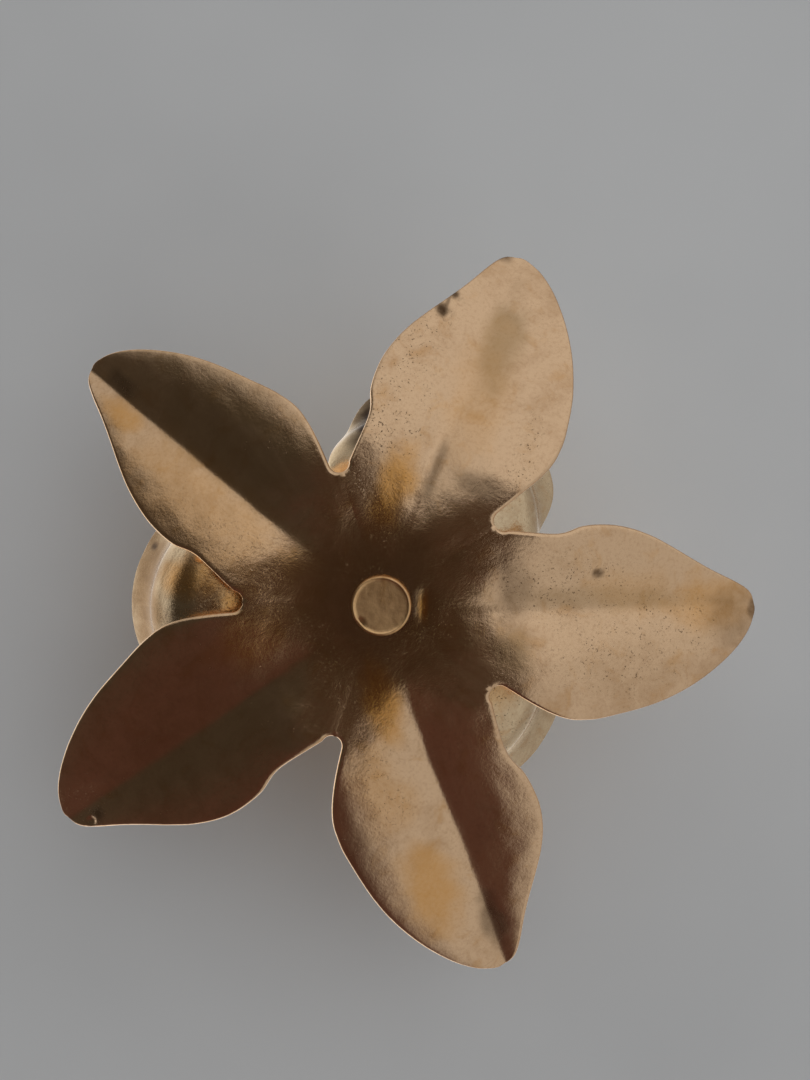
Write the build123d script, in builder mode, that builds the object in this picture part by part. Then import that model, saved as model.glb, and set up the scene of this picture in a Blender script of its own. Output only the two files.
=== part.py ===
"""Wall sconce candle holder: a five-petal brass flower that hangs on a stud, with a
three-petal cup in its throat and a short bent arm that carries a drip pan and a socket.

Frame: millimetres, +Z up. The wall plane is XZ and the flower faces -Y. The origin is the
centre of the stud's flat back face. Petal sizes are worked out in the flower's own flat
frame, seen from the wall: depth is measured from the back of the castings away from it.
"""
import math
import os

from build123d import *

os.makedirs("parts", exist_ok=True)

# ---- fits and fasteners ----------------------------------------------------------------
screw_clearance = 0.2  # radial, a shank through a casting
collar_clearance = 0.05  # radial, the arm in its collar

# ---- hanging stud ----------------------------------------------------------------------
stud_head_radius = 7.5
stud_head_height = 1.8
stud_head_round = 0.6
stud_neck_radius = 5.0
stud_neck_height = 1.2  # the slot behind the head, for a keyhole plate
stud_shank_radius = 3.0
stud_thread_depth = 11.0  # how far the shank runs into the arm

# ---- outer casting: five petals --------------------------------------------------------
petal_count = 5
petal_turn = 270.0  # degrees, the direction of the lowest petal, seen from the wall
petal_length = 103.5
petal_wall = 2.2
petal_droop = 22.0  # how far a tip leans away from the wall
droop_start = 20.0
droop_power = 1.7
petal_left_width = 23.0  # widest half on the hollow side
petal_right_width = 29.0  # widest half on the full side
crease_rise = 3.2  # how far each half stands above the middle crease
crease_start = 12.0
crease_full = 42.0
crest_place = 0.72  # where the crest of a half lies, as a share of its width
curl_start = 32.0  # from here outwards the free edges of a petal curl over
curl_full = 50.0
notch_radius = 35.0  # from the centre to the bottom of the notch between two petals
notch_round = 2.6

# ---- spacer between the castings -------------------------------------------------------
spacer_radius = 11.0
spacer_height = 5.0
spacer_round = 1.0

# ---- inner casting: a cup of three petals ----------------------------------------------
cup_turn = 262.5
cup_reaches = (23.0, 32.0, 22.0)  # lobe centres from the middle: lower, then anticlockwise
cup_wall = 2.0
cup_floor_radius = 24.0  # flat part of a lobe, from the lobe's own centre
cup_wall_radius = 34.0
cup_lip_flare = 8.0  # how far the lip stands out past the wall
cup_depth = 29.0
cup_lobe_width = 63.0
cup_waist = 17.0  # half-width of a lobe where it leaves the middle
cup_waist_place = 14.0

# ---- arm and its collar ----------------------------------------------------------------
arm_radius = 5.0
arm_reach = 52.0  # from the wall plane to the candle's axis
arm_bend = 10.0
arm_top = 13.0  # height of the arm's end over the stud's axis
collar_radius = 11.0
collar_height = 5.0
collar_round = 1.5

# ---- drip pan --------------------------------------------------------------------------
pan_radius = 23.0
pan_wall = 1.2
pan_flat_radius = 15.0
pan_rim_height = 3.6
pan_rim_roll = 1.0

# ---- candle socket ---------------------------------------------------------------------
candle_radius = 11.0
candle_clearance = 0.3
socket_depth = 20.0
socket_wall = 1.6
socket_base = 3.0
socket_foot_radius = 8.0
socket_foot_height = 2.0
socket_rim = 1.5  # how far the rolled rim stands out

# ---- socket screw ----------------------------------------------------------------------
screw_radius = 2.5
screw_head_radius = 4.5
screw_head_height = 2.4
screw_head_round = 0.6
screw_head_clearance = 0.3
screw_slot_width = 1.0
screw_slot_depth = 1.0
screw_thread_depth = 9.0

# ---- places worked out from the sizes --------------------------------------------------
casting_back = stud_head_height + stud_neck_height
cup_back = casting_back + petal_wall + spacer_height
cup_lip_radius = cup_wall_radius + cup_lip_flare
arm_back = cup_back + cup_wall
pan_bottom = arm_top
foot_bottom = pan_bottom + pan_wall
socket_floor = foot_bottom + socket_foot_height + socket_base
screw_seat = socket_floor - screw_head_height - 0.2  # the head lies just under the floor
recess_radius = screw_head_radius + screw_head_clearance
bore_radius = candle_radius + candle_clearance
half_sector = 180.0 / petal_count
seat_radius = max(spacer_radius, stud_head_radius) + 0.5  # the flat spot in the outer casting


def depth_plane(depth):
    """A plane parallel to the wall, seen from the wall: x to the left, y up, z to the wall."""
    return Plane(origin=(0, -depth, 0), x_dir=(-1, 0, 0), z_dir=(0, 1, 0))


def ease(value):
    """A smooth step from 0 to 1."""
    share = min(max(value, 0.0), 1.0)
    return share * share * (3 - 2 * share)


def droop(distance):
    """How far the crease line has fallen away from the wall at a distance along a petal."""
    share = max(distance - droop_start, 0.0) / (petal_length - droop_start)
    return petal_droop * share**droop_power


def crest(share, distance):
    """Height of a half-petal over the crease, 0 at the crease and 1 at the crest.

    Between two petals the halves run together; further out each half curls over its crest."""
    offset = (abs(share) - crest_place) / crest_place
    curled = 1 - offset**2 if offset < 0 else 1 - 1.9 * offset**2
    near = min(abs(share), 1.0)
    joined = near * (2 - near)
    return joined + (curled - joined) * ease((distance - curl_start) / (curl_full - curl_start))


def half_width(distance):
    """Half-width that the folded section is scaled to; it narrows towards the tip."""
    widest = (petal_left_width + petal_right_width) / 2
    narrowing = ease((distance - 0.62 * petal_length) / (0.5 * petal_length))
    return widest * (1 - 0.75 * narrowing)


def section_points(distance, drop):
    """Points across one section of a petal, its surface lowered by drop."""
    width = half_width(distance)
    rise = crease_rise * ease((distance - crease_start) / (crease_full - crease_start))
    rise *= width / half_width(0)
    strip = max(1.25, (petal_right_width + 4) / width)
    points = []
    for step in range(-6, 7):
        share = step / 6 * strip
        height = rise * max(crest(share, distance), -1.0)
        points.append((share * width, height - droop(distance) - drop))
    return points


def on_sector(distance, angle):
    return (distance * math.cos(math.radians(angle)), distance * math.sin(math.radians(angle)))


def notch_arc(side):
    """Three points of the rounded notch, from the sector's edge into the petal; side +1 or -1."""
    centre = Vector(*on_sector(notch_radius + notch_round, side * half_sector))
    outward = Vector(*on_sector(1, side * half_sector))
    inward = Vector(*on_sector(1, side * (half_sector - 90)))
    points = []
    for turn in (0, 38, 76):
        leg = inward * math.sin(math.radians(turn)) - outward * math.cos(math.radians(turn))
        points.append(centre + leg * notch_round)
    return points


# ---- one petal, along +X, with the wall side up ----------------------------------------
stations = (-0.04, 0.13, 0.30, 0.46, 0.62, 0.78, 0.91, 1.04)  # as shares of the length
outline_depth = petal_droop + 4 * crease_rise + petal_wall

with BuildPart() as petal:
    for station in stations:
        distance = station * petal_length
        with BuildSketch(Plane(origin=(distance, 0, 0), x_dir=(0, 1, 0), z_dir=(1, 0, 0))):
            with BuildLine():
                wall_side = Spline(*section_points(distance, 0))
                room_side = Spline(*section_points(distance, petal_wall))
                Line(wall_side @ 0, room_side @ 0)
                Line(wall_side @ 1, room_side @ 1)
            make_face()
    loft()

    # the outline: radial edges inside the notches, a hollow left side, a full right side
    left_notch = notch_arc(1)
    right_notch = notch_arc(-1)
    left = petal_left_width
    right = petal_right_width
    length = petal_length
    with BuildSketch(Plane.XY.offset(-outline_depth)):
        with BuildLine():
            left_arc = ThreePointArc(*left_notch)
            right_arc = ThreePointArc(*right_notch)
            Spline(
                left_arc @ 1,
                (0.46 * length, 0.90 * left),
                (0.59 * length, 1.00 * left),
                (0.71 * length, 0.83 * left),
                (0.81 * length, 0.56 * left),
                (0.90 * length, 0.33 * left),
                (0.97 * length, 0.19 * left),
                (length, -0.06 * right),
                (0.985 * length, -0.24 * right),
                (0.94 * length, -0.43 * right),
                (0.86 * length, -0.65 * right),
                (0.75 * length, -0.86 * right),
                (0.60 * length, -1.00 * right),
                (0.46 * length, -0.96 * right),
                right_arc @ 1,
                tangents=(left_arc % 1, (right_arc % 1) * -1),
            )
            Line((0, 0), left_arc @ 0)
            Line((0, 0), right_arc @ 0)
        make_face()
    extrude(amount=2 * outline_depth, mode=Mode.INTERSECT)

# ---- outer petals: one casting ---------------------------------------------------------
with BuildPart(depth_plane(casting_back)) as outer_petals:
    with PolarLocations(0, petal_count, start_angle=petal_turn):
        add(petal.part)
    with BuildSketch(depth_plane(casting_back)):
        Circle(seat_radius)
    extrude(amount=seat_radius, mode=Mode.SUBTRACT)
    with BuildSketch(depth_plane(casting_back)):
        Circle(seat_radius)
    extrude(amount=-petal_wall)
    with BuildSketch(depth_plane(casting_back + petal_wall)):
        Circle(seat_radius)
    extrude(amount=-spacer_height, mode=Mode.SUBTRACT)
    with BuildSketch(depth_plane(casting_back)):
        Circle(stud_shank_radius + screw_clearance)
    extrude(amount=-outline_depth, mode=Mode.SUBTRACT)

outer_petals.part.label = "outer_petals"
export_step(outer_petals.part, "parts/outer_petals.step")

# ---- back stud -------------------------------------------------------------------------
shank_length = petal_wall + spacer_height + cup_wall + stud_thread_depth

with BuildPart() as back_stud:
    with BuildSketch(depth_plane(stud_head_height)):
        Circle(stud_head_radius)
    extrude(amount=stud_head_height)
    fillet(back_stud.edges().sort_by(Axis.Y)[-1], stud_head_round)
    with BuildSketch(depth_plane(stud_head_height)):
        Circle(stud_neck_radius)
    extrude(amount=-stud_neck_height)
    with BuildSketch(depth_plane(casting_back)):
        Circle(stud_shank_radius)
    extrude(amount=-shank_length)
    chamfer(back_stud.edges().sort_by(Axis.Y)[0], 0.5)

back_stud.part.label = "back_stud"
export_step(back_stud.part, "parts/back_stud.step")

# ---- spacer ----------------------------------------------------------------------------
with BuildPart() as petal_spacer:
    with BuildSketch(depth_plane(cup_back)):
        Circle(spacer_radius)
        Circle(stud_shank_radius + screw_clearance, mode=Mode.SUBTRACT)
    extrude(amount=spacer_height)
    outer_rims = petal_spacer.edges().filter_by(GeomType.CIRCLE).sort_by(SortBy.RADIUS)[-2:]
    fillet(outer_rims, spacer_round)

petal_spacer.part.label = "petal_spacer"
export_step(petal_spacer.part, "parts/petal_spacer.step")

# ---- inner petals: a cup of three lobes ------------------------------------------------
cup_plane = depth_plane(cup_back)


def lobe_frame(index):
    """A lobe's own axis as a plane: z towards the wall, x out along the lobe."""
    angle = cup_turn + 120.0 * index
    across, up = on_sector(cup_reaches[index], angle)
    out, rise = on_sector(1, angle)
    return Plane(origin=(-across, -cup_back, up), x_dir=(-out, 0, rise), z_dir=(0, 1, 0))


def lobe_profile(inset):
    """Half-profile of one lobe, filled to its mouth, its surface moved in by inset."""
    top = -inset
    wall = cup_wall_radius - inset
    lip = cup_lip_radius if inset == 0 else cup_lip_radius + cup_wall
    mouth = -cup_depth if inset == 0 else -cup_depth - cup_wall
    shoulder = Spline(
        (cup_floor_radius, top),
        (wall - 3.2, -0.34 * cup_depth - inset / 2),
        (wall, -0.68 * cup_depth),
        (lip, mouth),
        tangents=((1, 0), (1, -0.55)),
    )
    Line((0, top), (cup_floor_radius, top))
    Line((0, top), (0, mouth))
    Line((0, mouth), shoulder @ 1)


def lobe_solid(index, inset):
    """One lobe turned about its own axis."""
    frame = lobe_frame(index)
    profile_plane = Plane(origin=frame.origin, x_dir=frame.x_dir, z_dir=-frame.y_dir)
    with BuildPart() as lobe:
        with BuildSketch(profile_plane):
            with BuildLine():
                lobe_profile(inset)
            make_face()
        revolve(axis=Axis(frame.origin, frame.z_dir))
    return lobe.part


def lobe_outline(index):
    """Flat shape of one lobe, from the middle of the flower outwards."""
    centre = cup_reaches[index]
    tip = centre + cup_lip_radius + 1
    half = cup_lobe_width / 2
    with BuildSketch(Plane.XY) as outline:
        with BuildLine():
            Spline(
                (cup_waist_place, cup_waist),
                (0.5 * (cup_waist_place + centre), 0.78 * half),
                (centre + 0.16 * cup_lip_radius, 0.97 * half),
                (centre + 0.48 * cup_lip_radius, half),
                (centre + 0.76 * cup_lip_radius, 0.80 * half),
                (centre + 0.95 * cup_lip_radius, 0.46 * half),
                (tip, 0),
                tangents=((0.4, 1), (0, -1)),
            )
            Line((cup_waist_place, cup_waist), (0, cup_waist))
            Line((0, cup_waist), (0, 0))
            mirror(about=Plane.XZ)
        make_face()
    return outline.sketch


with BuildPart() as inner_petals:
    for lobe_index in range(3):
        add(lobe_solid(lobe_index, 0))
    for lobe_index in range(3):
        add(lobe_solid(lobe_index, cup_wall), mode=Mode.SUBTRACT)
    with BuildSketch(depth_plane(cup_back + cup_depth + 2 * cup_wall)):
        for lobe_index in range(3):
            with Locations(Rotation(0, 0, cup_turn + 120.0 * lobe_index)):
                add(lobe_outline(lobe_index))
        Circle(cup_waist + 5)
    extrude(amount=cup_depth + 4 * cup_wall, mode=Mode.INTERSECT)
    with BuildSketch(cup_plane):
        Circle(stud_shank_radius + screw_clearance)
    extrude(amount=-cup_depth, mode=Mode.SUBTRACT)

inner_petals.part.label = "inner_petals"
export_step(inner_petals.part, "parts/inner_petals.step")

# ---- candle arm ------------------------------------------------------------------------
with BuildPart() as candle_arm:
    with BuildLine():
        FilletPolyline(
            (0, -arm_back, 0),
            (0, -arm_reach, 0),
            (0, -arm_reach, arm_top),
            radius=arm_bend,
        )
    with BuildSketch(depth_plane(arm_back)):
        Circle(arm_radius)
    sweep()
    with BuildSketch(depth_plane(arm_back)):
        Circle(stud_shank_radius)
    extrude(amount=-stud_thread_depth, mode=Mode.SUBTRACT)
    with BuildSketch(Plane(origin=(0, -arm_reach, arm_top))):
        Circle(screw_radius)
    extrude(amount=-screw_thread_depth, mode=Mode.SUBTRACT)

candle_arm.part.label = "candle_arm"
export_step(candle_arm.part, "parts/candle_arm.step")

# ---- arm collar ------------------------------------------------------------------------
with BuildPart() as arm_collar:
    with BuildSketch(depth_plane(arm_back)):
        Circle(collar_radius)
    extrude(amount=-collar_height)
    fillet(arm_collar.edges().sort_by(Axis.Y)[0], collar_round)
    with BuildSketch(depth_plane(arm_back)):
        Circle(arm_radius + collar_clearance)
    extrude(amount=-collar_height, mode=Mode.SUBTRACT)

arm_collar.part.label = "arm_collar"
export_step(arm_collar.part, "parts/arm_collar.step")

# ---- drip pan --------------------------------------------------------------------------
candle_axis = Axis((0, -arm_reach, 0), (0, 0, 1))
candle_section = Plane(origin=(0, -arm_reach, 0), x_dir=(1, 0, 0), z_dir=(0, -1, 0))

with BuildPart() as drip_pan:
    with BuildSketch(candle_section):
        with BuildLine():
            under = Spline(
                (pan_flat_radius, pan_bottom),
                (pan_radius, pan_bottom + pan_rim_height),
                tangents=((1, 0), (1, 0.9)),
            )
            over = Spline(
                (pan_flat_radius, pan_bottom + pan_wall),
                (pan_radius - 0.9 * pan_wall, pan_bottom + pan_rim_height + 0.5 * pan_wall),
                tangents=((1, 0), (1, 0.9)),
            )
            Line(under @ 1, over @ 1)
            Line((screw_radius + screw_clearance, pan_bottom), under @ 0)
            Line((screw_radius + screw_clearance, pan_bottom + pan_wall), over @ 0)
            Line(
                (screw_radius + screw_clearance, pan_bottom),
                (screw_radius + screw_clearance, pan_bottom + pan_wall),
            )
        make_face()
        with Locations((pan_radius - pan_rim_roll / 2, pan_bottom + pan_rim_height)):
            Circle(pan_rim_roll)
    revolve(axis=candle_axis)

drip_pan.part.label = "drip_pan"
export_step(drip_pan.part, "parts/drip_pan.step")

# ---- candle socket ---------------------------------------------------------------------
socket_top = socket_floor + socket_depth
socket_radius = bore_radius + socket_wall

with BuildPart() as candle_socket:
    with BuildSketch(candle_section):
        with BuildLine():
            body_side = Spline(
                (socket_foot_radius - 1.5, foot_bottom + socket_foot_height),
                (socket_radius - 0.4, socket_floor),
                (socket_radius, socket_floor + 0.35 * socket_depth),
                (socket_radius - 0.2, socket_floor + 0.70 * socket_depth),
                (socket_radius + socket_rim - 0.6, socket_top - 1.4),
                tangents=((1, 0.15), (0.5, 1)),
            )
            Polyline(
                body_side @ 1,
                (socket_radius + socket_rim, socket_top - 0.9),
                (socket_radius + socket_rim, socket_top - 0.3),
                (socket_radius + socket_rim - 0.3, socket_top),
                (bore_radius, socket_top),
                (bore_radius, socket_floor),
                (recess_radius, socket_floor),
                (recess_radius, screw_seat),
                (screw_radius + screw_clearance, screw_seat),
                (screw_radius + screw_clearance, foot_bottom),
                (socket_foot_radius, foot_bottom),
                (socket_foot_radius, foot_bottom + 0.6 * socket_foot_height),
                body_side @ 0,
            )
        make_face()
    revolve(axis=candle_axis)

candle_socket.part.label = "candle_socket"
export_step(candle_socket.part, "parts/candle_socket.step")

# ---- socket screw ----------------------------------------------------------------------
screw_length = screw_seat - arm_top + screw_thread_depth - 1.0

with BuildPart() as socket_screw:
    with BuildSketch(Plane(origin=(0, -arm_reach, screw_seat))):
        Circle(screw_head_radius)
    extrude(amount=screw_head_height)
    fillet(socket_screw.edges().sort_by(Axis.Z)[-1], screw_head_round)
    with BuildSketch(Plane(origin=(0, -arm_reach, screw_seat + screw_head_height))):
        Rectangle(2.5 * screw_head_radius, screw_slot_width)
    extrude(amount=-screw_slot_depth, mode=Mode.SUBTRACT)
    with BuildSketch(Plane(origin=(0, -arm_reach, screw_seat))):
        Circle(screw_radius)
    extrude(amount=-screw_length)

socket_screw.part.label = "socket_screw"
export_step(socket_screw.part, "parts/socket_screw.step")
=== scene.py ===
# Wall sconce candle holder: the looks of a cast-brass flower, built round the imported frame.
import math

import bmesh
import bpy
from mathutils import Matrix, Vector, noise


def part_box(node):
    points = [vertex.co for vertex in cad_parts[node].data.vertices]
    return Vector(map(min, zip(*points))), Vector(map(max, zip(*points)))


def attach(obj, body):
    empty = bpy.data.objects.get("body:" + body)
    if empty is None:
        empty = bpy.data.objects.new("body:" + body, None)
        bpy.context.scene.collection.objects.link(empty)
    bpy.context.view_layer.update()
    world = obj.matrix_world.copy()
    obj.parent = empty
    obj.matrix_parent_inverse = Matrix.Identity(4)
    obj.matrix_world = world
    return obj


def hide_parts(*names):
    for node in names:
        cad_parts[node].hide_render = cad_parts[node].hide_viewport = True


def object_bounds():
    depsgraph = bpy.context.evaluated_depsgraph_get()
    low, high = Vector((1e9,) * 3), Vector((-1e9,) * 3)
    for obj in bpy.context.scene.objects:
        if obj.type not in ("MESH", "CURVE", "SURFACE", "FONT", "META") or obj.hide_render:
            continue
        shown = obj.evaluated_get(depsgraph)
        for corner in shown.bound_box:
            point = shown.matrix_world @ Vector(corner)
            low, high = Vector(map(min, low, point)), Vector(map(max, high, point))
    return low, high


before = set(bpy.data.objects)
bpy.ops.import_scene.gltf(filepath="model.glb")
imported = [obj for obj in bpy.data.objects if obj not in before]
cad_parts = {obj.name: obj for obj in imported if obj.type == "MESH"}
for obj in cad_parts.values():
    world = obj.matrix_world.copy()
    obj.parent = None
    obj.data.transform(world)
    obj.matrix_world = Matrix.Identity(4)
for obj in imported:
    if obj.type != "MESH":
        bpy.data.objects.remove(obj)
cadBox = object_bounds()
mm = 0.001
weldGap = 0.02 * mm
leastEdge = 0.005 * mm


def ease(value):
    share = min(max(value, 0.0), 1.0)
    return share * share * (3 - 2 * share)


def turned(distance, across, degrees):
    # a flat point given along and across an axis that stands at an angle
    angle = math.radians(degrees)
    return (
        distance * math.cos(angle) - across * math.sin(angle),
        distance * math.sin(angle) + across * math.cos(angle),
    )


def fromWall(x, y, height, back):
    # the flower's own flat frame, seen from the wall in millimetres, to the part's frame
    return Vector((-x * mm, back + height * mm, y * mm))


def smoothLine(points, steps=24):
    # a Catmull-Rom line through a few points
    padded = [points[0], *points, points[-1]]
    line = []
    for index in range(1, len(padded) - 2):
        a, b, c, d = (Vector(p) for p in padded[index - 1 : index + 3])
        for step in range(steps):
            t = step / steps
            bend = (2 * a - 5 * b + 4 * c - d) * t * t
            line.append(0.5 * (2 * b + (c - a) * t + bend + (3 * b - a - 3 * c + d) * t**3))
    line.append(Vector(points[-1]))
    return line


def reading(line, place):
    # the second coordinate of a line at a place along its first, which only rises
    low, high = 0, len(line) - 1
    if place >= line[high][0]:
        return line[high][1]
    while high - low > 1:
        middle = (low + high) // 2
        if line[middle][0] <= place:
            low = middle
        else:
            high = middle
    run = line[high][0] - line[low][0]
    share = (place - line[low][0]) / run if run > 1e-9 else 0.0
    return line[low][1] + (line[high][1] - line[low][1]) * share


viewLook = {
    "roll": 199.5,  # degrees from the part's own left to the picture's right
    "distance": 0.230,
    "right": 0.0060,
    "up": 0.0165,
    "lens": 30.7,
}


def pictureDirection(degrees):
    # a direction in the picture, anticlockwise from its right, in the part's frame
    angle = math.radians(degrees + viewLook["roll"])
    return Vector((-math.cos(angle), 0.0, math.sin(angle)))


class Shade:
    # a socket in a node tree; arithmetic on it adds Math nodes
    def __init__(self, tree, socket=None):
        self.tree = tree
        self.socket = socket

    def node(self, kind, settings=None, sockets=None, out=0):
        made = self.tree.nodes.new("ShaderNode" + kind)
        for name, value in (settings or {}).items():
            setattr(made, name, value)
        for name, value in (sockets or {}).items():
            if isinstance(value, Shade):
                self.tree.links.new(value.socket, made.inputs[name])
            else:
                made.inputs[name].default_value = value
        return Shade(self.tree, made.outputs[out] if made.outputs else None)

    def maths(self, operation, first, second=0.0, clamp=False):
        settings = {"operation": operation, "use_clamp": clamp}
        return self.node("Math", settings, {0: first, 1: second})

    def __add__(self, other):
        return self.maths("ADD", self, other)

    __radd__ = __add__

    def __sub__(self, other):
        return self.maths("SUBTRACT", self, other)

    def __rsub__(self, other):
        return self.maths("SUBTRACT", other, self)

    def __mul__(self, other):
        return self.maths("MULTIPLY", self, other)

    __rmul__ = __mul__

    def __truediv__(self, other):
        return self.maths("DIVIDE", self, other)

    def __pow__(self, other):
        return self.maths("POWER", self, other)

    def above(self, low, high):
        # 0 under low, 1 over high, smooth between
        settings = {"interpolation_type": "SMOOTHSTEP"}
        return self.node("MapRange", settings, {"Value": self, "From Min": low, "From Max": high})

    def mix(self, first, second, blend="MIX"):
        # self is the share of the second colour
        settings = {"data_type": "RGBA", "blend_type": blend, "clamp_factor": True}
        return self.node("Mix", settings, {0: self, 6: first, 7: second}, out=2)

    def dot(self, vector):
        return self.node("VectorMath", {"operation": "DOT_PRODUCT"}, {0: self, 1: vector}, out=1)

    def scaled(self, factors):
        return self.node("VectorMath", {"operation": "MULTIPLY"}, {0: self, 1: factors})

    def noise(self, scale, detail=3.0, roughness=0.55, distortion=0.0):
        sockets = {"Vector": self, "Scale": scale, "Detail": detail, "Roughness": roughness}
        return self.node("TexNoise", None, {**sockets, "Distortion": distortion})


def linear(red, green, blue):
    # a colour as it is seen on a screen, 0 to 1, in the linear values that shaders use
    return (red**2.2, green**2.2, blue**2.2, 1.0)


brassLook = {
    "bright": linear(0.93, 0.785, 0.63),
    "warm": linear(0.90, 0.66, 0.36),
    "brown": linear(0.62, 0.45, 0.29),
    "olive": linear(0.64, 0.53, 0.38),
    "dark": linear(0.25, 0.17, 0.11),
    "roughness": 0.19,
}


def brassFinish(name, look, masks=False, turnedAxis=None, tarnish=0.5, pits=0.5):
    # aged brass: base metal, warm and brown stains, pits, fine scratches; with masks also the casting's
    # painted shade and painted reflections
    look = {**brassLook, **look}
    material = bpy.data.materials.new(name)
    material.use_nodes = True
    tree = material.node_tree
    tree.nodes.clear()
    start = Shade(tree)
    place = start.node("TexCoord", None, None, out="Object").scaled((1000, 1000, 1000))

    broad = place.noise(0.045, 4, 0.6, 0.4)
    cloud = place.noise(0.16, 5, 0.62, 0.6)
    fine = place.noise(1.1, 4, 0.6)
    grain = place.noise(5.0, 3, 0.6)

    stainMask = (broad * 0.6 + cloud * 0.5).above(0.50, 0.72) * tarnish
    colour = stainMask.mix(look["bright"], look["brown"])
    colour = (cloud.above(0.52, 0.75) * 0.25).mix(colour, look["warm"])
    colour = (fine.above(0.45, 0.75) * 0.22).mix(colour, look["brown"])

    pitNoise = place.noise(1.9, 2, 0.5)
    pitField = place.noise(0.09, 3, 0.6).above(0.42, 0.66)
    speck = pitNoise.above(0.66, 0.72)
    pitMask = speck * pitField * pits
    roughness = look["roughness"] + (fine - 0.5) * 0.10 + stainMask * 0.10

    if masks:
        # the casting's masks: stains and pits, with a few painted shadows and painted reflections mixed in
        warmMask = start.node("Attribute", {"attribute_name": "warmStainAndReflection"}, None, out="Fac")
        darkMask = start.node("Attribute", {"attribute_name": "darkStainAndShade"}, None, out="Fac")
        oliveMask = start.node("Attribute", {"attribute_name": "oliveStain"}, None, out="Fac")
        pitPlace = start.node("Attribute", {"attribute_name": "pitted"}, None, out="Fac")
        colour = (oliveMask * (0.75 + cloud * 0.5)).mix(colour, look["olive"])
        # the warm mask carries orange stains, and also one painted yellow reflection beside the stud
        colour = (warmMask * (0.6 + fine * 0.5)).mix(colour, look["warm"])
        # the dark mask carries dark stains and pits, and also painted shade and painted dark reflections
        # from a few patches
        darkShare = start.maths("MINIMUM", darkMask * (0.55 + cloud * 0.9), 1.0)
        colour = darkShare.mix(colour, look["dark"])
        smallPits = place.noise(1.7, 3, 0.6).above(0.60, 0.645) * place.noise(0.5, 2, 0.5).above(0.40, 0.55)
        pitSum = pitMask + smallPits * pitPlace
        pitMask = start.maths("MINIMUM", pitSum, 1.0)
        roughness = roughness + darkMask * 0.15 + oliveMask * 0.05
    colour = (pitMask * 0.8).mix(colour, look["dark"])
    roughness = roughness + pitMask * 0.25

    if turnedAxis is None:
        # brushed from the middle of the flower outwards
        parts = start.node("SeparateXYZ", None, {0: place}, out=0)
        up = Shade(tree, parts.socket.node.outputs[2])
        angle = start.maths("ARCTAN2", up, parts)
        reach = (parts * parts + up * up) ** 0.5
        streakPlace = start.node("CombineXYZ", None, {0: angle * 34, 1: reach * 0.05, 2: 0.0})
        streak = streakPlace.noise(1.0, 4, 0.7) * reach.above(9.0, 34.0)
    else:
        squeezed = tuple(9.0 if axis == turnedAxis else 0.12 for axis in "XYZ")
        streak = place.scaled(squeezed).noise(1.0, 3, 0.6)
    roughness = roughness + (streak - 0.5) * 0.16

    relief = streak * 0.10 + grain * 0.10 + fine * 0.5 + cloud * 0.8 - pitMask * 1.3
    bump = start.node("Bump", None, {"Strength": 0.16, "Distance": 0.0006, "Height": relief})
    sockets = {"Base Color": colour, "Metallic": 1.0, "Roughness": roughness, "Normal": bump}
    skin = start.node("BsdfPrincipled", None, sockets)
    start.node("OutputMaterial", None, {0: skin})
    return material


frontStainAndShade = 0.4  # how strong a stain or painted shade is on the room side
slopeStep = 0.15  # millimetres over which a surface's slope is read
rimShares = (0.62, 0.34, 0.14, 0.03, 0.0)


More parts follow.
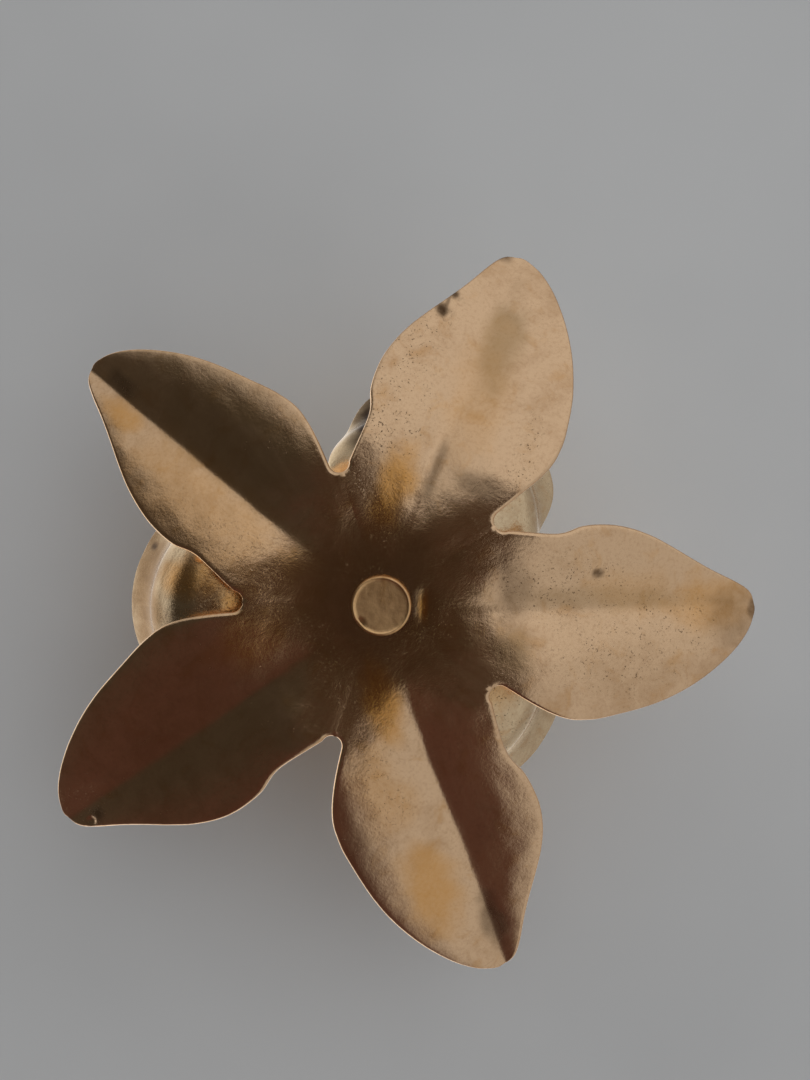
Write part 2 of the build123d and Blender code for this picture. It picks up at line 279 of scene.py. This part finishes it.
def casting(name, sectors, rowsOf, edgesOf, surfaceOf, wall, rim, columns, stainsAndShade=None, dentOf=None):
    # A closed sheet of metal made of equal sectors that share their straight inner edges.
    # rowsOf gives the places along a sector, edgesOf its left, middle and right at a place,
    # and surfaceOf the point on the wall side. The free edges are rounded by rim, and dentOf
    # gives how deep a hole is there. Stains and painted shade are weaker on the room side.
    mesh = bmesh.new()
    layers = {key: mesh.verts.layers.float.new(key) for key in (stainsAndShade or {})}
    for sector in range(sectors):
        rows = rowsOf(sector)
        rings = []
        for along in rows:
            left, middle, right, free = edgesOf(sector, along)
            ring = []
            for side, edge in ((-1, right), (1, left)):
                width = abs(edge - middle)
                band = min(rim, 0.45 * width)
                insets = [width - (width - band) * n / columns for n in range(columns + 1)]
                insets += [band * share for share in rimShares]
                places = [(middle + side * (width - inset), inset) for inset in insets]
                ring += places[::-1] if side < 0 else places[1:]
            pairs = []
            for across, inset in ring:
                here = surfaceOf(sector, along, across)
                ahead = surfaceOf(sector, along + slopeStep, across)
                ahead = ahead - surfaceOf(sector, along - slopeStep, across)
                beside = surfaceOf(sector, along, across + slopeStep)
                beside = beside - surfaceOf(sector, along, across - slopeStep)
                normal = ahead.cross(beside).normalized()
                if normal.y < 0:
                    normal.negate()
                drop = 0.0
                if free and inset < rim:
                    drop = rim * (1 - math.sqrt(max(0.0, 1 - (1 - inset / rim) ** 2)))
                dent = dentOf(sector, along, across) if dentOf else 0.0
                top = mesh.verts.new(here - normal * (drop + dent) * mm)
                bottom = mesh.verts.new(here - normal * (wall - drop) * mm)
                for key, layer in layers.items():
                    strength = stainsAndShade[key](here)
                    top[layer] = strength
                    bottom[layer] = strength * frontStainAndShade
                pairs.append((top, bottom))
            rings.append((pairs, free))
        for (near, nearFree), (far, farFree) in zip(rings, rings[1:]):
            for index in range(len(near) - 1):
                a, b, c, d = near[index], near[index + 1], far[index + 1], far[index]
                mesh.faces.new((a[0], b[0], c[0], d[0]))
                mesh.faces.new((d[1], c[1], b[1], a[1]))
            if farFree:
                mesh.faces.new((near[0][0], far[0][0], far[0][1], near[0][1]))
                mesh.faces.new((far[-1][0], near[-1][0], near[-1][1], far[-1][1]))
        first = rings[0][0]
        for index in range(len(first) - 1):
            a, b = first[index], first[index + 1]
            mesh.faces.new((b[0], a[0], a[1], b[1]))
    bmesh.ops.remove_doubles(mesh, verts=mesh.verts, dist=weldGap)
    bmesh.ops.dissolve_degenerate(mesh, edges=mesh.edges, dist=leastEdge)
    bmesh.ops.recalc_face_normals(mesh, faces=mesh.faces)
    data = bpy.data.meshes.new(name)
    mesh.to_mesh(data)
    mesh.free()
    for face in data.polygons:
        face.use_smooth = True
    piece = bpy.data.objects.new(name, data)
    bpy.context.collection.objects.link(piece)
    return piece


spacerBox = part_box("petal_spacer")
petalLook = {
    "wall": 2.2,
    "rim": 0.95,
    "length": 103.5,
    "left": 23.0,
    "right": 29.0,
    "droop": 22.0,
    "droopStart": 20.0,
    "droopPower": 1.7,
    "rise": 3.4,
    "riseStart": 12.0,
    "riseFull": 42.0,
    "notch": 35.0,
    "notchRound": 2.6,
    "lowest": 270.0,  # where the lowest petal points, seen from the wall
    "turn": 72.0,  # from one petal to the next
    "firstRow": 3.0,
    "innerRows": 22,
    "outerRows": 92,
    "columns": 26,
    "crease": 1.3,  # the crease is rounded, not a sharp line
    "wave": 0.18,
    "ripple": 0.10,
    "studLip": 0.32,  # a lip of metal beside the stud
}
# small differences between the petals of one casting: turn in degrees, reach, extra droop,
# shares of the left and right widths, and where the crest of each half lies
petalBends = (
    {"turn": -1.6, "reach": 0.985, "droop": 0.0, "shares": (1.0, 1.0), "crests": (0.90, 0.84)},
    {"turn": -0.7, "reach": 0.998, "droop": 0.0, "shares": (0.89, 0.86), "crests": (0.94, 0.82)},
    {"turn": 0.3, "reach": 1.030, "droop": 0.5, "shares": (1.0, 0.89), "crests": (0.90, 0.90)},
    {"turn": 2.0, "reach": 1.032, "droop": 0.5, "shares": (1.0, 1.0), "crests": (0.95, 0.78)},
    {"turn": 1.3, "reach": 0.992, "droop": -0.5, "shares": (0.91, 0.98), "crests": (0.88, 0.88)},
)
outerBack = spacerBox[1].y + petalLook["wall"] * mm
halfSector = math.radians(petalLook["turn"] / 2)
pictureRight = Vector(turned(1, 0, viewLook["roll"]))  # in the flower's flat frame


def petalNotch(side):
    # the rounded notch beside a petal, as points that run outwards
    look = petalLook
    middle = look["notch"] + look["notchRound"]
    out = Vector((math.cos(halfSector), side * math.sin(halfSector)))
    inward = Vector((math.sin(halfSector), -side * math.cos(halfSector)))
    points = []
    for degrees in range(0, 81, 10):
        turn = math.radians(degrees)
        leg = inward * math.sin(turn) - out * math.cos(turn)
        points.append(out * middle + leg * look["notchRound"])
    return points


def petalSides():
    # the petal's outline as two lines, along and across, from the notches to the tip
    look = petalLook
    length, left, right = look["length"], look["left"], look["right"]
    leftPoints = [
        (0.43, 0.845),
        (0.50, 0.955),
        (0.57, 0.985),
        (0.63, 0.945),
        (0.69, 0.85),
        (0.75, 0.71),
        (0.81, 0.555),
        (0.87, 0.41),
        (0.93, 0.285),
        (0.97, 0.185),
        (0.991, 0.085),
    ]
    rightPoints = [
        (0.44, 0.95),
        (0.52, 1.005),
        (0.60, 0.98),
        (0.68, 0.925),
        (0.76, 0.83),
        (0.83, 0.71),
        (0.89, 0.575),
        (0.94, 0.43),
        (0.975, 0.285),
        (0.995, 0.14),
    ]
    tip = (length, -0.05 * right)
    leftLine = smoothLine([petalNotch(1)[-1], *((a * length, b * left) for a, b in leftPoints), tip])
    rightLine = smoothLine([petalNotch(-1)[-1], *((a * length, -b * right) for a, b in rightPoints), tip])
    return petalNotch(1)[:-1] + leftLine, petalNotch(-1)[:-1] + rightLine


leftSide, rightSide = petalSides()


def petalRows(sector):
    length = petalLook["length"]
    inner = petalLook["notch"] * math.cos(halfSector)
    arcs = [point[0] for point in petalNotch(1)]
    first, count, outer = petalLook["firstRow"], petalLook["innerRows"], petalLook["outerRows"]
    rows = [first + (inner - first) * n / count for n in range(count)]
    rows += arcs
    for n in range(1, outer + 1):
        share = n / outer
        rows.append(arcs[-1] + (length - arcs[-1]) * (1 - (1 - share) ** 1.5))
    return rows


def petalEdges(sector, along):
    if along < petalLook["notch"] * math.cos(halfSector) - 1e-6:
        half = along * math.tan(halfSector)
        return half, 0.0, -half, False
    middle = -0.05 * petalLook["right"] * ease((along / petalLook["length"] - 0.90) / 0.10)
    return reading(leftSide, along), middle, reading(rightSide, along), True


def foldWidth(along, side):
    # the half-width that the fold across a petal is scaled to
    look = petalLook
    inner = 25.0
    line = leftSide if side > 0 else rightSide
    outer = abs(reading(line, along)) if along > 36 else inner
    share = ease((along - 36) / 20)
    return max(inner * (1 - share) + outer * share, 5.0)


def crestShape(share, along, crest):
    # between the petals the halves run together; further out each half curls over its crest
    offset = (share - crest) / crest
    curled = 1 - offset**2 if offset < 0 else 1 - 1.9 * offset**2
    joined = min(share, 1.0) * (2 - min(share, 1.0))
    return joined + (curled - joined) * ease((along - 32) / 18)


def petalHeight(along, across, crest):
    look = petalLook
    width = foldWidth(along, across)
    soft = look["crease"]
    share = (math.sqrt(across * across + soft * soft) - soft) / width
    rise = look["rise"] * ease((along - look["riseStart"]) / (look["riseFull"] - look["riseStart"]))
    rise *= min(1.0, (width / 25.0)) ** 0.8
    run = max(along - look["droopStart"], 0.0) / (look["length"] - look["droopStart"])
    return rise * crestShape(share, along, crest) - look["droop"] * run ** look["droopPower"]


def petalSurface(sector, along, across):
    look = petalLook
    bend = petalBends[sector]
    half = 0 if across > 0 else 1
    bent = ease((along - 30) / 40)
    height = petalHeight(along, across, bend["crests"][half]) - bend["droop"] * bent
    grown = along * (1 + (bend["reach"] - 1) * bent)
    across *= 1 + (bend["shares"][half] - 1) * bent
    x, y = turned(grown, across, look["lowest"] + look["turn"] * sector + bend["turn"] * bent)
    away = ease((math.hypot(x, y) - 13) / 15)
    spot = Vector((x, y, 0))
    height += away * look["wave"] * noise.noise(spot / 16)
    height += away * look["ripple"] * noise.noise(spot / 5 + Vector((9, 4, 2)))
    out = x * pictureRight.x + y * pictureRight.y
    beside = abs(x * pictureRight.y - y * pictureRight.x)
    inside = ease((14 - math.hypot(x, y)) / 4)
    height -= look["studLip"] * ease((out - 8.9) / 1.9) * inside * ease(1.5 - beside / 4.2)
    return fromWall(x, y, height, outerBack)


# holes in the casting: petal, along, across, radius and depth in millimetres
bigPits = (
    (0, 78.0, 11.3, 1.5, 0.9),
    (0, 79.6, 10.4, 0.9, 0.5),
    (0, 83.3, 9.2, 1.1, 0.7),
    (0, 85.4, 8.0, 0.7, 0.4),
    (4, 55.0, 9.5, 0.8, 0.35),
    (2, 97.0, 4.0, 1.2, 0.5),
)

def petalDent(sector, along, across):
    depth = 0.0
    for petal, pitAlong, pitAcross, size, most in bigPits:
        if petal == sector:
            gap = math.hypot(along - pitAlong, across - pitAcross)
            depth += most * math.exp(-((gap / size) ** 4))
    return depth


# stains, and a few painted shadows and reflections: petal, along, across, half-length, half-width, strength
warmPatches = (
    # painted reflection: the yellow crescent of the stud's side mirrored in the petal beside it
    (4, 10.6, 0, 1.4, 4.0, 0.95),
    (0, 29, 7, 12, 5, 0.95),
    (0, 60, -6, 20, 8, 0.25),
    (3, 24, -7, 11, 5, 0.95),
    (3, 76, -9, 15, 8, 0.75),
    (3, 45, -14, 14, 8, 0.35),
    (1, 52, 9, 34, 12, 0.40),
    (1, 86, 3, 8, 4, 0.75),
    (4, 88, 2, 14, 8, 0.55),
    (4, 66, 5, 14, 6, 0.25),
    (2, 32, -12, 12, 7, 0.5),
)
darkPatches = (
    (0, 101.5, 1, 3.0, 3.5, 0.65),
    (0, 78.2, 11, 1.9, 1.7, 0.9),
    (0, 83.6, 9, 1.5, 1.3, 0.9),
    (0, 80.8, 10.2, 2.8, 0.6, 0.6),
    # painted shadow: the tongue of shade at the base of this petal
    (0, 38, -1.5, 8, 1.7, 0.45),
    (0, 37, -14, 3.5, 7, 0.45),
    (1, 92, -3.5, 6, 3.0, 0.45),
    (2, 97, 4, 2.5, 2.5, 0.5),
    (3, 90, 4, 9, 3.5, 0.55),
    # painted dark reflection along the curled outer edge of this petal
    (3, 59, -23, 17, 4.0, 0.20),
    (4, 102, 0, 2.5, 3.5, 0.65),
    (4, 95, -2, 9, 8, 0.32),
    (4, 34, 5, 5, 9, 0.35),
    (4, 55, 9.5, 1.6, 1.2, 0.7),
)
olivePatches = (
    (0, 0, 0, 24, 24, 0.6),
    (0, 74, -7, 16, 6, 0.55),
    (1, 55, -12, 36, 13, 0.4),
    (2, 50, 0, 42, 22, 0.30),
    (4, 58, 3, 26, 3, 0.35),
    (4, 33, -11, 6, 6, 0.5),
)
pittedPatches = (
    (4, 50, 6, 22, 10, 0.9),
    (4, 62, -12, 20, 12, 0.8),
    (0, 45, 12, 20, 9, 0.9),
    (0, 66, 16, 18, 9, 1.0),
    (4, 78, -4, 14, 10, 0.9),
    (0, 45, -22, 16, 4, 0.9),
    (1, 40, 12, 16, 8, 0.3),
    (3, 44, -14, 16, 9, 0.4),
    (2, 98, 0, 8, 8, 0.5),
)


def patchField(patches, lowest, sectorTurn):
    # a smooth mask over a casting, highest inside each patch
    def strength(point):
        x, y = -point.x / mm, point.z / mm
        ragged = 0.35 * noise.noise(Vector((x, y, 0)) / 7) + 0.15 * noise.noise(Vector((x, y, 3)) / 2.2)
        best = 0.0
        for petal, along, across, halfLong, halfWide, most in patches:
            angle = -(lowest + sectorTurn * petal)
            u, v = turned(x, y, angle)
            gap = math.hypot((u - along) / halfLong, (v - across) / halfWide)
            best = max(best, most * ease(1.35 - gap + ragged))
        return best

    return strength


outerPatches = {
    "warmStainAndReflection": warmPatches,
    "darkStainAndShade": darkPatches,
    "oliveStain": olivePatches,
    "pitted": pittedPatches,
}
outerStainsAndShade = {
    key: patchField(patches, petalLook["lowest"], petalLook["turn"]) for key, patches in outerPatches.items()
}

outerBrass = brassFinish("outerBrass", {}, masks=True, tarnish=0.30, pits=0.22)
outerPetals = casting(
    "outerPetals",
    5,
    petalRows,
    petalEdges,
    petalSurface,
    petalLook["wall"],
    petalLook["rim"],
    petalLook["columns"],
    outerStainsAndShade,
    petalDent,
)
outerPetals.data.materials.append(outerBrass)
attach(outerPetals, "root")
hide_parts("outer_petals")
print("outer petals", len(outerPetals.data.vertices), "points")


cupLook = {
    "wall": 2.0,
    "rim": 0.9,
    "lowest": 262.5,
    "reaches": (23.0, 32.0, 22.0),
    "floor": 12.0,
    "wallRadius": 34.0,
    "lipRadius": 42.0,
    "depth": 29.0,
    "notch": 22.0,
    "crease": 0.7,
    "turn": 120.0,  # from one lobe to the next
    "firstRow": 3.0,
    "innerRows": 12,
    "outerRows": 84,
    "columns": 34,
    "wave": 0.3,
    # the long lobe: a swell in its floor and a step before its lip
    "longLobe": 1,
    "swell": 2.3,
    "dip": 2.2,
    "stepPlace": 34.0,
    "stepHeight": 0.7,
}
cupBack = spacerBox[0].y
thirdSector = math.radians(cupLook["turn"] / 2)


def cupProfile():
    # the section of a lobe from its floor over the wall to the lip: radius and height
    look = cupLook
    points = [
        (look["floor"] - 6, 0.0),
        (look["floor"], 0.0),
        (0.5 * (look["floor"] + look["wallRadius"]), -0.065 * look["depth"]),
        (look["wallRadius"] - 3.2, -0.30 * look["depth"]),
        (look["wallRadius"], -0.68 * look["depth"]),
        (look["lipRadius"], -look["depth"]),
    ]
    line = smoothLine(points)
    run = [0.0]
    for a, b in zip(line, line[1:]):
        run.append(run[-1] + (b - a).length)
    start = points[0][0]
    radii = [Vector((start + r, p[0])) for r, p in zip(run, line)]
    heights = [Vector((start + r, p[1])) for r, p in zip(run, line)]
    return radii, heights, start, start + run[-1]


cupRadii, cupHeights, cupFlat, cupRun = cupProfile()


def lobeSide(sector):
    # half the lobe's flat pattern: along and across, from the notch to the lip
    centre = cupLook["reaches"][sector]
    notch = cupLook["notch"]
    end = cupRun
    points = [
        (notch * math.cos(thirdSector), notch * math.sin(thirdSector)),
        (notch * math.cos(thirdSector) + 3.0, 19.5),
        (0.5 * (14 + centre) + 1.0, 24.5),
        (centre, 30.5),
        (centre + 0.33 * end, 41.0),
        (centre + 0.60 * end, 42.0),
        (centre + 0.80 * end, 33.5),
        (centre + 0.935 * end, 20.0),
        (centre + 0.985 * end, 9.5),
        (centre + end, 0.0),
    ]
    return smoothLine(points)


lobeSides = [lobeSide(sector) for sector in range(3)]


def lobeRows(sector):
    inner = cupLook["notch"] * math.cos(thirdSector)
    end = cupLook["reaches"][sector] + cupRun
    first, count, outer = cupLook["firstRow"], cupLook["innerRows"], cupLook["outerRows"]
    rows = [first + (inner - first) * n / count for n in range(count + 1)]
    for n in range(1, outer + 1):
        share = n / outer
        rows.append(inner + (end - inner) * (1 - (1 - share) ** 1.4))
    return rows


def lobeEdges(sector, along):
    if along < cupLook["notch"] * math.cos(thirdSector) - 1e-6:
        half = along * math.tan(thirdSector)
        return half, 0.0, -half, False
    half = reading(lobeSides[sector], along)
    return half, 0.0, -half, True


def lobeSurface(sector, along, across):
    look = cupLook
    centre = look["reaches"][sector]
    foot = min(along, centre)
    gapAlong, gapAcross = along - foot, across
    gap = math.hypot(gapAlong, gapAcross)
    radius, height = gap, 0.0
    if gap > cupFlat:
        radius = reading(cupRadii, gap)
        height = reading(cupHeights, gap)
        # towards the middle of the flower the floor stays flat
        keep = ease((along - 8) / 10)
        radius = gap + (radius - gap) * keep
        height *= keep
    if gap > 1e-6:
        gapAlong, gapAcross = gapAlong / gap * radius, gapAcross / gap * radius
    outward = foot + gapAlong
    groove = look["crease"] * math.exp(-((across / 2.2) ** 2)) * ease((along - 20) / 14)
    if sector == look["longLobe"]:
        groove = 0.004 * across * across * ease((along - 24) / 10)
        groove -= look["swell"] * ease((along - 27) / 23) * (1 - ease((gap - 18) / 11))
        groove += look["dip"] * ease((along - 13) / 9) * (1 - ease((along - 24) / 25))
        step = ease((gap - look["stepPlace"]) / 0.8) * ease((look["stepPlace"] + 12 - gap) / 8)
        groove += look["stepHeight"] * step
    x, y = turned(outward, gapAcross, look["lowest"] + look["turn"] * sector)
    wave = noise.noise(Vector((x, y, 7)) / 14) * ease((math.hypot(x, y) - 13) / 12)
    return fromWall(x, y, height - groove + look["wave"] * wave, cupBack)


# stains and painted shade on the cup: lobe, along, across, half-length, half-width, strength
cupStainsAndShade = {
    "warmStainAndReflection": (
        (1, 38, 0, 7, 14, 0.95),
        (1, 46, -9, 14, 6, 0.85),
        (1, 66, -4, 7, 30, 0.35),
        (2, 34, 10, 7, 8, 0.5),
    ),
    "darkStainAndShade": (
        (1, 45, 0.5, 4.5, 0.45, 1.0),
        # painted shade and painted dark reflection from the outer petal beside this lobe
        (1, 52, 10, 4, 6, 0.9),
        (1, 66, -18, 2, 1.4, 0.8),
        # painted shade and painted dark reflection on the lobe that sits in the shadow of the outer petals
        (0, 46, 25, 15, 6, 0.95),
        (1, 66, -4, 6, 30, 0.35),
    ),
    "oliveStain": ((1, 66, -4, 12, 30, 0.9), (0, 0, 0, 24, 24, 0.6)),
    "pitted": ((1, 47, 2, 14, 13, 1.0), (2, 46, 12, 20, 10, 0.8), (0, 46, -22, 16, 10, 0.5)),
}
cupFields = {
    key: patchField(patches, cupLook["lowest"], cupLook["turn"]) for key, patches in cupStainsAndShade.items()
}
cupTint = {"bright": linear(0.93, 0.83, 0.68), "olive": linear(0.56, 0.47, 0.36)}
innerBrass = brassFinish("innerBrass", cupTint, masks=True, tarnish=0.4, pits=1.0)
innerPetals = casting(
    "innerPetals",
    3,
    lobeRows,
    lobeEdges,
    lobeSurface,
    cupLook["wall"],
    cupLook["rim"],
    cupLook["columns"],
    cupFields,
)
innerPetals.data.materials.append(innerBrass)
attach(innerPetals, "root")
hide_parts("inner_petals")
print("inner petals", len(innerPetals.data.vertices), "points")


turnedBrass = brassFinish("turnedBrass", {"roughness": 0.24}, turnedAxis="Y", tarnish=0.4, pits=0.3)
studTint = {"bright": linear(0.94, 0.77, 0.56), "roughness": 0.36}
studBrass = brassFinish("studBrass", studTint, turnedAxis="Y", tarnish=0.5, pits=0.4)
for nodeName in ("petal_spacer", "arm_collar", "candle_arm", "drip_pan", "candle_socket", "socket_screw"):
    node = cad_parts[nodeName]
    node.data.materials.clear()
    node.data.materials.append(turnedBrass)


studLook = {
    "headRadius": 7.5,
    "headHeight": 1.8,
    "neckRadius": 5.0,
    "shankRadius": 3.0,
    "seat": 3.0,  # from the wall plane to the casting's back
    "segments": 96,
    "faceRings": 14,
    "sharp": 50,  # degrees above which a turned edge stays crisp
    "chip": (218.0, 7.3, 1.5, 0.75),  # picture direction, radius, size and depth of a dent
}


def makeStud():
    # a turned stud: a proud rim round a face that is faintly dished, a neck and a shank
    look = studLook
    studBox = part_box("back_stud")
    length = (studBox[1].y - studBox[0].y) / mm
    radius, height = look["headRadius"], look["headHeight"]
    count = look["faceRings"]
    face = [(0.4 + (radius - 1.5) * n / count, -0.34 + 0.06 * (n / count) ** 2) for n in range(count)]
    profile = face + [
        (radius - 0.95, -0.26),
        (radius - 0.80, -0.20),
        (radius - 0.68, -0.06),
        (radius - 0.52, 0.0),
        (radius - 0.34, -0.04),
        (radius - 0.16, -0.16),
        (radius - 0.04, -0.36),
        (radius, -0.60),
        (radius, -height + 0.30),
        (radius - 0.10, -height + 0.08),
        (radius - 0.35, -height),
        (look["neckRadius"] + 0.15, -height),
        (look["neckRadius"], -height - 0.15),
        (look["neckRadius"], -look["seat"]),
        (look["shankRadius"], -look["seat"]),
        (look["shankRadius"], -length + 0.5),
        (look["shankRadius"] - 0.5, -length),
    ]
    chipTurn, chipRadius, chipSize, chipDepth = look["chip"]
    chip = pictureDirection(chipTurn) * chipRadius
    mesh = bmesh.new()
    rings = []
    for r, y in profile:
        ring = []
        for segment in range(look["segments"]):
            angle = 2 * math.pi * segment / look["segments"]
            spot = Vector((r * math.cos(angle), y, r * math.sin(angle)))
            worn = 0.05 * noise.noise(spot / 2.2) + 0.02 * noise.noise(spot / 0.9)
            gap = math.hypot(spot.x - chip.x, spot.z - chip.z) / chipSize
            if y > -height + 0.4:
                spot.y += (worn if r < radius - 0.9 else worn * 0.3) - chipDepth * math.exp(-(gap**4))
            ring.append(mesh.verts.new(spot * mm))
        rings.append(ring)
    count = look["segments"]
    for near, far in zip(rings, rings[1:]):
        for index in range(count):
            after = (index + 1) % count
            mesh.faces.new((near[index], near[after], far[after], far[index]))
    mesh.faces.new(rings[0])
    mesh.faces.new(rings[-1])
    bmesh.ops.recalc_face_normals(mesh, faces=mesh.faces)
    data = bpy.data.meshes.new("hangingStud")
    mesh.to_mesh(data)
    mesh.free()
    for face in data.polygons:
        face.use_smooth = True
    data.set_sharp_from_angle(angle=math.radians(look["sharp"]))
    stud = bpy.data.objects.new("hangingStud", data)
    bpy.context.collection.objects.link(stud)
    stud.data.materials.append(studBrass)
    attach(stud, "root")
    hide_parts("back_stud")
    return stud


makeStud()
print("turned pieces finished")


def makeCamera():
    data = bpy.data.cameras.new("wallCamera")
    data.lens = viewLook["lens"]
    data.clip_start = 0.01
    data.clip_end = 50
    camera = bpy.data.objects.new("wallCamera", data)
    bpy.context.collection.objects.link(camera)
    right, up, back = pictureDirection(0), pictureDirection(90), Vector((0, 1, 0))
    place = right * viewLook["right"] + up * viewLook["up"] + back * viewLook["distance"]
    turn = Matrix((right, up, back)).transposed().to_4x4()
    camera.matrix_world = Matrix.Translation(place) @ turn
    bpy.context.scene.camera = camera


stageLook = {
    "surface": linear(0.785, 0.80, 0.81),
    "shade": linear(0.755, 0.77, 0.78),
    "gap": 0.0015,  # between the surface and the furthest piece of the holder
    "size": 9.0,
}


def makeStage():
    # the pale surface that the holder lies on face down; only the viewer sees it, from the wall side
    material = bpy.data.materials.new("palePaper")
    material.use_nodes = True
    tree = material.node_tree
    tree.nodes.clear()
    start = Shade(tree)
    place = start.node("TexCoord", None, None, out="Object")
    tint = place.noise(6.0, 3).above(0.3, 0.7)
    colour = tint.mix(stageLook["surface"], stageLook["shade"])
    skin = start.node("BsdfPrincipled", None, {"Base Color": colour, "Roughness": 0.9})
    clear = start.node("BsdfTransparent")
    behind = start.node("NewGeometry", None, None, out="Backfacing")
    unseen = 1.0 - start.node("LightPath", None, None, out="Is Camera Ray")
    away = start.maths("MAXIMUM", behind, unseen)
    oneSided = start.node("MixShader", None, {0: away, 1: skin, 2: clear})
    start.node("OutputMaterial", None, {0: oneSided})
    half = stageLook["size"] / 2
    depth = cadBox[0].y - stageLook["gap"]
    mesh = bpy.data.meshes.new("paleSurface")
    corners = [(-half, depth, -half), (-half, depth, half), (half, depth, half), (half, depth, -half)]
    mesh.from_pydata(corners, [], [(0, 1, 2, 3)])
    mesh.materials.append(material)
    surface = bpy.data.objects.new("paleSurface", mesh)
    bpy.context.collection.objects.link(surface)


roomLook = {
    "window": 30.0,  # picture direction of the middle of the room's bright side
    "bright": (0.475, 0.468, 0.46, 1.0),
    "glow": (0.60, 0.592, 0.585, 1.0),  # the brightest stretch of it
    "glowWay": 62.0,
    "dim": (0.053, 0.045, 0.036, 1.0),
    "red": (0.078, 0.041, 0.034, 1.0),
    "redWay": 258.0,
    "viewer": (0.050, 0.031, 0.021, 1.0),  # straight behind the viewer
    "seen": linear(0.66, 0.66, 0.68),
    "front": (1.10, 1.08, 1.05, 1.0),  # the room before the flower, towards its light
    "frontDim": (0.34, 0.32, 0.30, 1.0),
    "frontWay": (-0.45, -0.62, 0.64),
    "bounce": 0.3,  # extra light on matt surfaces
}


def makeRoom():
    # a bright side towards the window, a dark side opposite and dark straight behind the viewer
    world = bpy.data.worlds.new("room")
    bpy.context.scene.world = world
    world.use_nodes = True
    tree = world.node_tree
    tree.nodes.clear()
    start = Shade(tree)
    way = start.node("TexCoord", None, None, out="Generated")
    pole = way.dot((0.0, 1.0, 0.0))
    planar = start.maths("MAXIMUM", 1.0 - pole * pole, 0.01) ** 0.5

    def towards(degrees, low, high):
        return (way.dot(pictureDirection(degrees)) / planar).above(low, high)

    bright = towards(roomLook["glowWay"], 0.45, 0.95).mix(roomLook["bright"], roomLook["glow"])
    dim = towards(roomLook["redWay"], 0.45, 0.95).mix(roomLook["dim"], roomLook["red"])
    colour = towards(roomLook["window"], -0.50, -0.17).mix(dim, bright)
    colour = pole.above(0.955, 0.984).mix(colour, roomLook["viewer"])
    front = way.dot(roomLook["frontWay"]).above(0.1, 0.9).mix(roomLook["frontDim"], roomLook["front"])
    colour = (1.0 - pole.above(-0.3, 0.0)).mix(colour, front)
    eye = start.node("LightPath", None, None, out="Is Camera Ray")
    colour = eye.mix(colour, roomLook["seen"])
    soft = start.node("LightPath", None, None, out="Is Diffuse Ray")
    light = start.node("Background", None, {"Color": colour, "Strength": 1.0 + soft * roomLook["bounce"]})
    start.node("OutputWorld", None, {0: light})


lampLook = {
    "degrees": 36,  # picture direction
    "height": 42,  # degrees towards the viewer
    "distance": 1.6,
    "size": 1.8,
    "power": 7.5,
}


def makeLamp(name, degrees, height, distance, size, power):
    # a soft square light at a picture direction, raised towards the viewer
    data = bpy.data.lights.new(name, "AREA")
    data.shape = "SQUARE"
    data.size = size
    data.energy = power
    rise = math.radians(height)
    way = pictureDirection(degrees) * math.cos(rise) + Vector((0, 1, 0)) * math.sin(rise)
    lamp = bpy.data.objects.new(name, data)
    lamp.location = way * distance
    lamp.rotation_mode = "QUATERNION"
    lamp.rotation_quaternion = way.to_track_quat("Z", "Y")
    lamp.visible_glossy = False  # the room's bright side is what the brass mirrors
    bpy.context.collection.objects.link(lamp)


makeLamp("windowLight", **lampLook)
makeCamera()
makeStage()
makeRoom()
bpy.context.scene.view_settings.view_transform = "Standard"
print("stage, light and camera")
